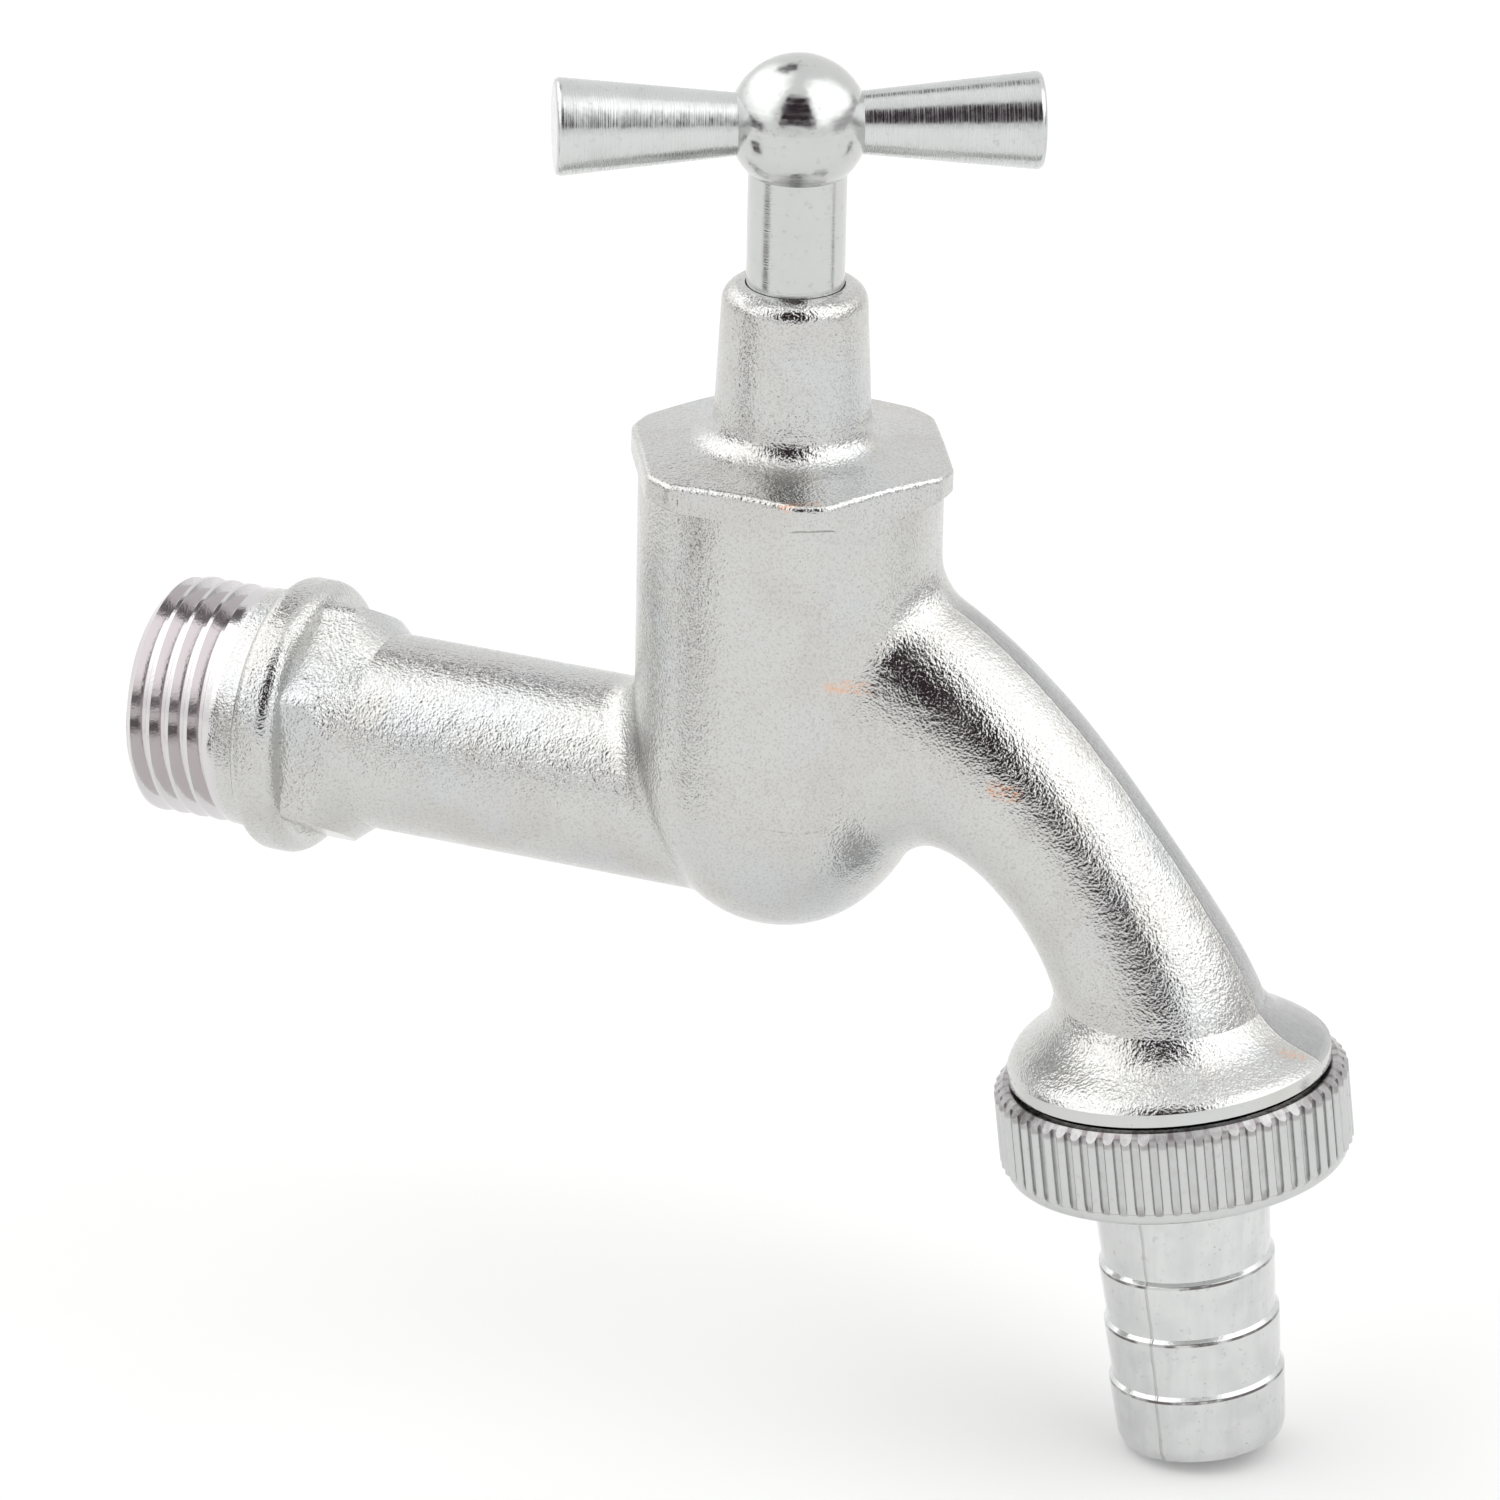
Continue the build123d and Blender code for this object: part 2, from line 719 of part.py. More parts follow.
def union_nut():
    """Nut with rounded flutes, a plain lower band and a floor that holds the tail."""
    rim = nut_diameter / 2
    base = rim - flute_depth
    low = nut_bottom
    flute = math.pi * base / flute_count * flute_share
    pattern = Circle(base) + [
        Rot(0, 0, index * 360 / flute_count) * Pos(base, 0) * Circle(flute)
        for index in range(flute_count)
    ]
    blank = extrude(Pos(0, 0, nut_top) * pattern, low - nut_top)
    envelope = turned_points([
        (0, nut_top),
        (base - nut_edge / 2, nut_top),
        (rim + flute_depth, nut_top + nut_edge + flute_depth),
        (rim + flute_depth, low - nut_band - flute_depth),
        (base, low - nut_band, 0.2),
        (base, low, nut_edge),
        (0, low),
    ])
    outside = blank & envelope
    bore = thread_bore(outlet_thread_diameter, pipe_pitch, nut_top - 1, low - nut_floor)
    tail_hole = disc(tail_neck_diameter + 2 * tail_clearance, low - nut_floor - 1, low + 1)
    crest = outlet_thread_diameter / 2 + 2 * thread_clearance
    mouth_depth = nut_mouth_bottom + depth_of(pipe_pitch)
    mouth = turned_points([
        (0, nut_top - 1),
        (crest, nut_top - 1),
        (crest, nut_mouth_bottom),
        (minor_diameter(outlet_thread_diameter, pipe_pitch) / 2, mouth_depth),
        (0, mouth_depth),
    ])
    thread = internal_groove(
        outlet_thread_diameter, pipe_pitch, nut_thread_start, outlet_end + hose_washer_thickness
    )
    return outlet_frame * (outside - bore - tail_hole - mouth - thread)


def hose_washer():
    ring = tube(tail_flange_diameter, hose_washer_bore, outlet_end, outlet_end + hose_washer_thickness)
    return outlet_frame * ring


def hose_tail():
    """Flange with a wider mouth, tapered neck and barbs that rise towards the tap."""
    flange_low = outlet_end + hose_washer_thickness
    flange_high = flange_low + tail_flange_thickness
    crest = barb_diameter / 2
    root = barb_root_diameter / 2
    first = tail_end - tail_end_length - barb_count * barb_pitch + barb_step
    points = [
        (tail_bore_diameter / 2, flange_low + tail_mouth_depth),
        (tail_mouth_diameter / 2, flange_low + tail_mouth_depth),
        (tail_mouth_diameter / 2, flange_low),
        (tail_flange_diameter / 2, flange_low, 0.3),
        (tail_flange_diameter / 2, flange_high),
        (tail_neck_diameter / 2, flange_high),
    ]
    for index in range(barb_count):
        top = first + index * barb_pitch
        points += [(root, top - barb_step), (crest, top, 0.1), (crest, top + barb_land)]
    points += [
        (root, tail_end - tail_end_length, 1.0),
        (tail_end_diameter / 2, tail_end, 0.2),
        (tail_bore_diameter / 2, tail_end),
    ]
    return outlet_frame * turned_points(points)


pieces = {
    "body": body,
    "bonnet": bonnet,
    "bonnet_gasket": bonnet_gasket,
    "spindle": spindle,
    "spindle_seal_lower": lambda: spindle_seal(0),
    "spindle_seal_upper": lambda: spindle_seal(1),
    "jumper": jumper,
    "jumper_ring": jumper_ring,
    "valve_washer": valve_washer,
    "washer_screw": washer_screw,
    "handle_ball": handle_ball,
    "handle_bar_front": lambda: handle_bar(180),
    "handle_bar_back": lambda: handle_bar(0),
    "union_nut": union_nut,
    "hose_washer": hose_washer,
    "hose_tail": hose_tail,
}

os.makedirs("parts", exist_ok=True)
for name, make in pieces.items():
    shape = make()
    export_step(shape, f"parts/{name}.step")
    print(name, "valid" if shape.is_valid else "NOT VALID", round(shape.volume, 1), "mm3")

print("spindle turns to open:", round(valve_lift / spindle_pitch, 3))
print("nut turns to leave the thread:", round(nut_travel / pipe_pitch, 3), "travel", round(nut_travel, 3))
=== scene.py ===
import math

import bmesh
import bpy
from mathutils import Matrix, Vector


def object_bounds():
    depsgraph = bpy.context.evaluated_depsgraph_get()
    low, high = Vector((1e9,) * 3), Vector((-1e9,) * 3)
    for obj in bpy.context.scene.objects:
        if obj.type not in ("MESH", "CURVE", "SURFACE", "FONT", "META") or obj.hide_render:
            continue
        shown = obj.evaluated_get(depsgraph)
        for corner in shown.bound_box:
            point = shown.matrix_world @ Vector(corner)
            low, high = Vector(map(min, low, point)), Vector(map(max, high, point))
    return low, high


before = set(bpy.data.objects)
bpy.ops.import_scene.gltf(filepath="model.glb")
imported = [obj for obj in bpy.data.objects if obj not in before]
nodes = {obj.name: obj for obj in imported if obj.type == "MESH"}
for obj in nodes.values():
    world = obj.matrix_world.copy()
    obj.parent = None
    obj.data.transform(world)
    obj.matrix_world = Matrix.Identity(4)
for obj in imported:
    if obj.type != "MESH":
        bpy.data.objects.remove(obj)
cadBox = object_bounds()
print("frame loaded:", len(nodes), "nodes")

# the camera stands where the photograph was taken from, metres and degrees
cameraView = {
    "target": (0.05499, 0.0, 0.0045),
    "distance": 0.8,
    "turn": 22.78,
    "rise": 23.27,
    "roll": 1.14,
    "lens": 224.45,
    "sensor": 36.0,
}


def makeCamera(view):
    turn, rise, roll = (math.radians(view[k]) for k in ("turn", "rise", "roll"))
    look = Vector((-math.sin(turn) * math.cos(rise), math.cos(turn) * math.cos(rise), -math.sin(rise)))
    level = Vector((math.cos(turn), math.sin(turn), 0))
    upright = level.cross(look)
    right = level * math.cos(roll) + upright * math.sin(roll)
    up = upright * math.cos(roll) - level * math.sin(roll)
    camera = bpy.data.objects.new("camera", bpy.data.cameras.new("camera"))
    bpy.context.scene.collection.objects.link(camera)
    place = Matrix((right, up, -look)).transposed().to_4x4()
    place.translation = Vector(view["target"]) - look * view["distance"]
    camera.matrix_world = place
    camera.data.lens = view["lens"]
    camera.data.sensor_width = view["sensor"]
    bpy.context.scene.camera = camera


makeCamera(cameraView)
bpy.context.scene.view_settings.view_transform = "Standard"
print("camera placed")


# small helpers for node trees

def addNode(tree, kind, **settings):
    node = tree.nodes.new(kind)
    for name, value in settings.items():
        setattr(node, name, value)
    return node


# value is a number, a colour or another node's output
def feed(tree, socket, value):
    if isinstance(value, bpy.types.NodeSocket):
        tree.links.new(value, socket)
    else:
        socket.default_value = value


def calc(tree, operation, a, b=0.0, c=0.0, clamp=False):
    node = addNode(tree, "ShaderNodeMath", operation=operation, use_clamp=clamp)
    for i, value in enumerate((a, b, c)):
        feed(tree, node.inputs[i], value)
    return node.outputs[0]


def times(tree, *factors):
    product = factors[0]
    for factor in factors[1:]:
        product = calc(tree, "MULTIPLY", product, factor)
    return product


# smooth step from fromValue at low to toValue at high
def ramp(tree, value, low, high, fromValue=0.0, toValue=1.0):
    node = addNode(tree, "ShaderNodeMapRange", interpolation_type="SMOOTHSTEP")
    for i, v in enumerate((value, low, high, fromValue, toValue)):
        feed(tree, node.inputs[i], v)
    return node.outputs[0]


def mixColour(tree, share, a, b):
    node = addNode(tree, "ShaderNodeMix", data_type="RGBA")
    feed(tree, node.inputs["Factor"], share)
    feed(tree, node.inputs[6], a)
    feed(tree, node.inputs[7], b)
    return node.outputs[2]


def mixNumber(tree, share, a, b):
    node = addNode(tree, "ShaderNodeMix", data_type="FLOAT")
    feed(tree, node.inputs["Factor"], share)
    feed(tree, node.inputs[2], a)
    feed(tree, node.inputs[3], b)
    return node.outputs[0]


# noise whose features are about two sizes across, in metres
def noise(tree, place, size, detail=2.0, roughness=0.5, distortion=0.0):
    node = addNode(tree, "ShaderNodeTexNoise")
    feed(tree, node.inputs["Vector"], place)
    feed(tree, node.inputs["Scale"], 1.0 / size)
    feed(tree, node.inputs["Detail"], detail)
    feed(tree, node.inputs["Roughness"], roughness)
    feed(tree, node.inputs["Distortion"], distortion)
    return node.outputs[0]


# how far a point lies along an axis from a centre, in metres
def along(tree, place, centre, axis):
    shifted = addNode(tree, "ShaderNodeVectorMath", operation="SUBTRACT")
    feed(tree, shifted.inputs[0], place)
    shifted.inputs[1].default_value = centre
    product = addNode(tree, "ShaderNodeVectorMath", operation="DOT_PRODUCT")
    feed(tree, product.inputs[0], shifted.outputs[0])
    product.inputs[1].default_value = axis
    return product.outputs["Value"]


# lines left by the lathe: noise that only changes along the axis
def turningLines(tree, distance, size, detail=3.0):
    node = addNode(tree, "ShaderNodeTexNoise", noise_dimensions="1D")
    feed(tree, node.inputs["W"], distance)
    feed(tree, node.inputs["Scale"], 1.0 / size)
    feed(tree, node.inputs["Detail"], detail)
    return node.outputs[0]


def bump(tree, height, depth, normal=None):
    node = addNode(tree, "ShaderNodeBump")
    node.inputs["Strength"].default_value = 1.0
    node.inputs["Distance"].default_value = depth
    feed(tree, node.inputs["Height"], height)
    if normal is not None:
        feed(tree, node.inputs["Normal"], normal)
    return node.outputs[0]


def newMaterial(name, metallic=1.0):
    material = bpy.data.materials.new(name)
    material.use_nodes = True
    tree = material.node_tree
    shader = tree.nodes["Principled BSDF"]
    shader.inputs["Metallic"].default_value = metallic
    place = addNode(tree, "ShaderNodeTexCoord").outputs["Object"]
    return material, tree, shader, place


# studio: a direction is its turn from -Y towards +X and its rise above the horizon, in degrees.
# panels are bright and flags are dark; wide, tall and soft are half widths and the width of the edge
studio = {
    "base": 0.97,
    "dark": (0.036, 0.022, 0.029, 1.0),
    "panels": (
        {"turn": -80, "rise": 45, "wide": 52, "tall": 30, "soft": 24, "level": 1.75},
        {"turn": 98, "rise": 45, "wide": 44, "tall": 30, "soft": 24, "level": 1.85},
    ),
    "flags": (
        {"turn": 19, "rise": 38, "wide": 30, "tall": 25, "soft": 9, "cover": 1.0},
        {"turn": -137, "rise": 55, "wide": 17, "tall": 9, "soft": 7, "cover": 0.9},
        {"turn": -62, "rise": 3, "wide": 26, "tall": 6, "soft": 5, "cover": 0.9},
        {"turn": 116, "rise": 7, "wide": 34, "tall": 9, "soft": 8, "cover": 0.5},
    ),
}


# one inside a soft-edged rectangle of directions, and nothing outside it
def window(tree, turn, rise, card):
    away = calc(tree, "SUBTRACT", turn, math.radians(card["turn"]))
    wrapped = calc(tree, "WRAP", away, math.pi, -math.pi)
    sideways = calc(tree, "ABSOLUTE", wrapped)
    upwards = calc(tree, "ABSOLUTE", calc(tree, "SUBTRACT", rise, math.radians(card["rise"])))
    half = math.radians(card["soft"] / 2)
    wide, tall = math.radians(card["wide"]), math.radians(card["tall"])
    across = ramp(tree, sideways, wide - half, wide + half, 1.0, 0.0)
    high = ramp(tree, upwards, tall - half, tall + half, 1.0, 0.0)
    return times(tree, across, high)


def makeStudio(look):
    world = bpy.data.worlds.new("studio")
    bpy.context.scene.world = world
    world.use_nodes = True
    tree = world.node_tree
    tree.nodes.clear()
    direction = addNode(tree, "ShaderNodeTexCoord").outputs["Generated"]
    split = addNode(tree, "ShaderNodeSeparateXYZ")
    feed(tree, split.inputs[0], direction)
    x, y, z = split.outputs
    turn = calc(tree, "ARCTAN2", x, times(tree, y, -1.0))
    rise = calc(tree, "ARCSINE", z)
    level = look["base"]
    for panel in look["panels"]:
        level = mixNumber(tree, window(tree, turn, rise, panel), level, panel["level"])
    colour = addNode(tree, "ShaderNodeCombineColor")
    for i in range(3):
        feed(tree, colour.inputs[i], level)
    colour = colour.outputs[0]
    for flag in look["flags"]:
        cover = times(tree, window(tree, turn, rise, flag), flag["cover"])
        colour = mixColour(tree, cover, colour, look["dark"])
    room = addNode(tree, "ShaderNodeBackground")
    feed(tree, room.inputs["Color"], colour)
    white = addNode(tree, "ShaderNodeBackground")
    rays = addNode(tree, "ShaderNodeLightPath")
    seen = addNode(tree, "ShaderNodeMixShader")
    feed(tree, seen.inputs[0], rays.outputs["Is Camera Ray"])
    feed(tree, seen.inputs[1], room.outputs[0])
    feed(tree, seen.inputs[2], white.outputs[0])
    white.inputs["Color"].default_value = (1, 1, 1, 1)
    output = addNode(tree, "ShaderNodeOutputWorld")
    feed(tree, output.inputs[0], seen.outputs[0])


makeStudio(studio)

# gaps are dark wedges of floor round the valve's axis that only reflections show, each given by
# its turn and half width in degrees
floorLook = {
    "size": 6.0,
    "below": 0.0002,
    "colour": (0.74, 0.74, 0.735, 1),
    "mottle": (0.7, 0.7, 0.7, 1),
    "mottleShare": 0.02,
    "glow": 0.20,
    "grain": 0.004,
    "roughness": 0.9,
    "centre": (0.05826, 0.0, 0.0),
    "gaps": ((-52, 8.0), (118, 3.0)),
    "gapSoft": 3.0,
    "gapStart": 0.15,
    "gapEnd": 0.34,
    "gapFade": 0.05,
    "gapShade": (0.07, 0.055, 0.06, 1),
}


# one inside the floor's gaps, and nothing on the rest of it
def floorGaps(tree, place, look):
    shifted = addNode(tree, "ShaderNodeVectorMath", operation="SUBTRACT")
    feed(tree, shifted.inputs[0], place)
    shifted.inputs[1].default_value = look["centre"]
    split = addNode(tree, "ShaderNodeSeparateXYZ")
    feed(tree, split.inputs[0], shifted.outputs[0])
    turn = calc(tree, "ARCTAN2", split.outputs[0], times(tree, split.outputs[1], -1.0))
    gap = 0.0
    soft = math.radians(look["gapSoft"] / 2)
    for middle, half in look["gaps"]:
        away = calc(tree, "ABSOLUTE", calc(tree, "SUBTRACT", turn, math.radians(middle)))
        edge = math.radians(half)
        gap = calc(tree, "MAXIMUM", gap, ramp(tree, away, edge - soft, edge + soft, 1.0, 0.0))
    reach = addNode(tree, "ShaderNodeVectorMath", operation="LENGTH")
    feed(tree, reach.inputs[0], shifted.outputs[0])
    distance, fade = reach.outputs["Value"], look["gapFade"]
    beyond = ramp(tree, distance, look["gapStart"], look["gapStart"] + fade)
    within = ramp(tree, distance, look["gapEnd"] - fade, look["gapEnd"], 1.0, 0.0)
    return times(tree, gap, beyond, within)


def makeFloor(look):
    mesh = bpy.data.meshes.new("floor")
    sheet = bmesh.new()
    bmesh.ops.create_grid(sheet, x_segments=1, y_segments=1, size=look["size"] / 2)
    bmesh.ops.translate(sheet, verts=sheet.verts, vec=(0, 0, cadBox[0][2] - look["below"]))
    sheet.to_mesh(mesh)
    floor = bpy.data.objects.new("floor", mesh)
    bpy.context.scene.collection.objects.link(floor)
    material, tree, shader, place = newMaterial("paleFloor", 0.0)
    shader.inputs["Roughness"].default_value = look["roughness"]
    shader.inputs["Specular IOR Level"].default_value = 0.0
    mottled = ramp(tree, noise(tree, place, look["grain"], 4.0), 0.3, 0.7, 0.0, look["mottleShare"])
    feed(tree, shader.inputs["Base Color"], mixColour(tree, mottled, look["colour"], look["mottle"]))
    rays = addNode(tree, "ShaderNodeLightPath")
    seen = calc(tree, "ADD", rays.outputs["Is Camera Ray"], rays.outputs["Is Glossy Ray"])
    seen = calc(tree, "ADD", seen, rays.outputs["Is Transmission Ray"], clamp=True)
    shader.inputs["Emission Color"].default_value = (1, 1, 1, 1)
    feed(tree, shader.inputs["Emission Strength"], times(tree, seen, look["glow"]))
    shade = addNode(tree, "ShaderNodeBsdfDiffuse")
    shade.inputs["Color"].default_value = look["gapShade"]
    joined = addNode(tree, "ShaderNodeMixShader")
    reflected = times(tree, floorGaps(tree, place, look), rays.outputs["Is Glossy Ray"])
    feed(tree, joined.inputs[0], reflected)
    feed(tree, joined.inputs[1], shader.outputs[0])
    feed(tree, joined.inputs[2], shade.outputs[0])
    feed(tree, tree.nodes["Material Output"].inputs["Surface"], joined.outputs[0])
    mesh.materials.append(material)


makeFloor(floorLook)
print("studio and floor made")


# a CAD node keeps its mesh and takes a finish
def dress(node, material):
    mesh = nodes[node].data
    mesh.materials.clear()
    mesh.materials.append(material)


# the outlet's own axis, which leans away from the barrel
lean = math.radians(7.2)
outletAxis = {"centre": (0.09208, 0.0, 0.0), "axis": (math.sin(lean), 0.0, -math.cos(lean))}
outletSide = (math.cos(lean), 0.0, math.sin(lean))


# one on a short line between two points of a surface, and nothing away from it
def stroke(tree, place, mark):
    start, end = Vector(mark["start"]), Vector(mark["end"])
    way = end - start
    share = calc(tree, "DIVIDE", along(tree, place, start, way), way.length_squared, clamp=True)
    step = addNode(tree, "ShaderNodeVectorMath", operation="SCALE")
    step.inputs[0].default_value = way
    feed(tree, step.inputs["Scale"], share)
    foot = addNode(tree, "ShaderNodeVectorMath", operation="ADD")
    feed(tree, foot.inputs[0], step.outputs[0])
    foot.inputs[1].default_value = start
    gap = addNode(tree, "ShaderNodeVectorMath", operation="DISTANCE")
    feed(tree, gap.inputs[0], place)
    feed(tree, gap.inputs[1], foot.outputs[0])
    return ramp(tree, gap.outputs["Value"], mark["width"] * 0.3, mark["width"], 1.0, 0.0)


# sizes, widths and depths are metres, shares run from nothing to one
castLook = {
    "colour": (0.615, 0.62, 0.605, 1),
    "warm": (0.55, 0.535, 0.51, 1),
    "cool": (0.60, 0.625, 0.65, 1),
    "stain": (0.30, 0.25, 0.23, 1),
    "copper": (0.80, 0.42, 0.25, 1),
    "thread": (0.67, 0.655, 0.66, 1),
    "threadRootPaintedShade": (0.66, 0.62, 0.63, 1),
    "crestRadius": 0.01036,
    "grain": 0.00022,
    "grainDepth": 0.000065,
    "pebble": 0.0005,
    "pebbleDepth": 0.00005,
    "lump": 0.0021,
    "lumpDepth": 0.00008,
    "roughness": 0.13,
    "turnedRoughness": 0.13,
    "collarStart": 0.0161,
    "threadEnd": 0.0088,
    "soft": 0.0005,
    "partingStart": 0.0722,
    "partingWidth": 0.00007,
    "partingTilt": 0.12,
    "partingWander": 0.0008,
    "partingPaintedShade": (0.40, 0.41, 0.42, 1),
    "partingPaintedShadeShare": 0.8,
    "ridgeShare": 0.3,
    "warmSize": 0.007,
    "warmShare": 0.45,
    "coolSize": 0.011,
    "coolShare": 0.5,
    "speckleShare": 0.32,
    "speckSize": 0.00030,
    "speckShare": 0.6,
    "turnedGrain": 0.12,
    "wearSize": 0.00028,
    "bareShare": 0.75,
    "scratchShare": 0.6,
    "bareSpots": (
        {"start": (0.0660, -0.0099, 0.0163), "end": (0.0690, -0.0085, 0.0159), "width": 0.0009},
        {"start": (0.0803, -0.0076, 0.0086), "end": (0.0822, -0.0073, 0.0082), "width": 0.0010},
        {"start": (0.1052, -0.0018, -0.0133), "end": (0.1062, -0.0010, -0.0140), "width": 0.0009},
        {"start": (0.0630, -0.0128, 0.0328), "end": (0.0655, -0.0113, 0.0328), "width": 0.0007},
    ),
    "scratches": (
        {"start": (0.05893, -0.01289, 0.01571), "end": (0.06112, -0.01259, 0.01372), "width": 0.00012},
        {"start": (0.0620, -0.0124, 0.0032), "end": (0.0641, -0.0115, 0.0029), "width": 0.00016},
        {"start": (0.0646, -0.0112, 0.0029), "end": (0.0663, -0.0100, 0.0031), "width": 0.00014},
    ),
}


# one past the crest line of the spout, where its two mould halves met, and the line itself; the far
# side past the line takes a painted shade
def partingLine(tree, place, split, onSpout, look):
    width = look["partingWidth"]
    wander = calc(tree, "SUBTRACT", noise(tree, place, 0.006, 2.0), 0.5)
    offset = calc(tree, "ADD", split.outputs[1], times(tree, wander, look["partingWander"]))
    ridge = ramp(tree, calc(tree, "ABSOLUTE", offset), width, width * 2.5, 1.0, 0.0)
    behind = times(tree, calc(tree, "MAXIMUM", offset, 0.0), look["partingTilt"])
    height = times(tree, calc(tree, "SUBTRACT", times(tree, ridge, width * 0.5), behind), onSpout)
    paintedShadeSide = times(tree, ramp(tree, offset, -width, width), onSpout)
    return height, paintedShadeSide, times(tree, ridge, onSpout)


# the inlet thread: painted shade darkens its roots and the flanks that face away from +X, with a
# pinkish tint, so its crests read brighter than what lies below them
def threadPaintedShade(tree, split, facing, look):
    flat = addNode(tree, "ShaderNodeCombineXYZ")
    feed(tree, flat.inputs[1], split.outputs[1])
    feed(tree, flat.inputs[2], split.outputs[2])
    radius = addNode(tree, "ShaderNodeVectorMath", operation="LENGTH")
    feed(tree, radius.inputs[0], flat.outputs[0])
    crest = look["crestRadius"]
    belowCrest = ramp(tree, radius.outputs["Value"], crest - 0.0001, crest, 1.0, 0.0)
    shadedFlanks = times(tree, belowCrest, ramp(tree, facing.outputs[0], 0.1, 0.5, 1.0, 0.0))
    return mixColour(tree, shadedFlanks, look["thread"], look["threadRootPaintedShade"])


# shot-blasted casting under thin plating, smoother where its thread and collar are turned
def castSkin(look):
    material, tree, shader, place = newMaterial("castPlate")
    split = addNode(tree, "ShaderNodeSeparateXYZ")
    feed(tree, split.inputs[0], place)
    facing = addNode(tree, "ShaderNodeSeparateXYZ")
    feed(tree, facing.inputs[0], addNode(tree, "ShaderNodeTexCoord").outputs["Normal"])
    outward = along(tree, place, outletAxis["centre"], outletAxis["axis"])
    soft, threadEnd = look["soft"], look["threadEnd"]
    onThread = ramp(tree, split.outputs[0], threadEnd - soft, threadEnd + soft, 1.0, 0.0)
    onCollar = ramp(tree, outward, look["collarStart"] - soft, look["collarStart"] + soft)
    rough = calc(tree, "SUBTRACT", 1.0, calc(tree, "MAXIMUM", onThread, onCollar))
    onSpout = ramp(tree, split.outputs[0], look["partingStart"], look["partingStart"] + 0.003)
    onSpout = times(tree, onSpout, ramp(tree, facing.outputs[2], -0.1, 0.2), rough)
    parting, paintedShadeSide, ridge = partingLine(tree, place, split, onSpout, look)

    grains = noise(tree, place, look["grain"], 1.0, 0.5)
    pebbles = noise(tree, place, look["pebble"], 1.0)
    lumps = noise(tree, place, look["lump"], 2.0)
    handled = mixNumber(tree, rough, look["turnedGrain"], 1.0)
    broad = bump(tree, times(tree, lumps, handled), look["lumpDepth"])
    middle = bump(tree, times(tree, pebbles, handled), look["pebbleDepth"], broad)
    fine = bump(tree, times(tree, grains, handled), look["grainDepth"], middle)
    feed(tree, shader.inputs["Normal"], bump(tree, parting, 1.0, fine))

    warm = ramp(tree, noise(tree, place, look["warmSize"], 4.0, 0.6), 0.42, 0.66)
    colour = mixColour(tree, times(tree, warm, look["warmShare"]), look["colour"], look["warm"])
    cool = noise(tree, place, look["coolSize"], 3.0, 0.5, 0.4)
    colour = mixColour(tree, ramp(tree, cool, 0.5, 0.68, 0.0, look["coolShare"]), colour, look["cool"])
    # painted shade: the far side of the spout's parting line is greyed, standing in for the shade past
    # its crest
    colour = mixColour(tree, times(tree, paintedShadeSide, look["partingPaintedShadeShare"]), colour, look["partingPaintedShade"])
    colour = mixColour(tree, times(tree, ridge, look["ridgeShare"]), colour, look["stain"])
    speckle = noise(tree, place, look["grain"], 3.0, 0.7)
    speckle = ramp(tree, speckle, 0.36, 0.52, look["speckleShare"], 0.0)
    colour = mixColour(tree, times(tree, speckle, rough), colour, look["stain"])
    specks = ramp(tree, noise(tree, place, look["speckSize"], 2.0), 0.68, 0.74)
    where = ramp(tree, noise(tree, place, 0.004, 3.0), 0.50, 0.64, 0.0, look["speckShare"])
    colour = mixColour(tree, times(tree, specks, where), colour, look["stain"])
    # the thread's colour, with its painted shade below the crests
    colour = mixColour(tree, onThread, colour, threadPaintedShade(tree, split, facing, look))
    worn = ramp(tree, noise(tree, place, look["wearSize"], 3.0, 0.7), 0.46, 0.58)
    for spot in look["bareSpots"]:
        bare = times(tree, stroke(tree, place, spot), worn, look["bareShare"])
        colour = mixColour(tree, bare, colour, look["copper"])
    for scratch in look["scratches"]:
        cut = times(tree, stroke(tree, place, scratch), worn, look["scratchShare"])
        colour = mixColour(tree, cut, colour, look["stain"])
    feed(tree, shader.inputs["Base Color"], colour)

    low, high = look["roughness"] - 0.04, look["roughness"] + 0.06
    patchy = ramp(tree, noise(tree, place, 0.005, 3.0), 0.3, 0.7, low, high)
    feed(tree, shader.inputs["Roughness"], mixNumber(tree, rough, look["turnedRoughness"], patchy))
    return material


# lathe-turned metal under bright plating, with lines round its axis
def turnedPlate(name, look):
    material, tree, shader, place = newMaterial(name)
    distance = along(tree, place, look["centre"], look["axis"])
    lines = turningLines(tree, distance, look["lineSize"])
    wander = noise(tree, place, 0.002, 2.0)
    handled = noise(tree, place, 0.0006, 4.0, 0.6)
    soft = bump(tree, wander, look["waveDepth"])
    feed(tree, shader.inputs["Normal"], bump(tree, lines, look["lineDepth"], soft))
    clouds = ramp(tree, noise(tree, place, 0.003, 3.0), 0.4, 0.7)
    colour = mixColour(tree, times(tree, clouds, look["shadeShare"]), look["colour"], look["shade"])
    worn = ramp(tree, handled, 0.60, 0.70)
    colour = mixColour(tree, times(tree, worn, look["stainShare"]), colour, look["stain"])
    feed(tree, shader.inputs["Base Color"], colour)
    rough = ramp(tree, handled, 0.3, 0.7, look["roughness"] - 0.03, look["roughness"] + 0.06)
    streaks = ramp(tree, lines, 0.42, 0.62, 0.0, look["lineRoughness"])
    feed(tree, shader.inputs["Roughness"], calc(tree, "ADD", rough, streaks))
    return material, tree, shader, place


brightColours = {
    "colour": (0.64, 0.655, 0.65, 1),
    "shade": (0.56, 0.57, 0.57, 1),
    "shadeShare": 0.45,
    "stain": (0.36, 0.34, 0.34, 1),
    "stainShare": 0.30,
}
# the tee bars point this far round from +X at rest
heading = math.radians(28.5)
valveCentre = (0.05826, 0.0, 0.0)
ballCentre = (0.05826, 0.0, 0.06175)

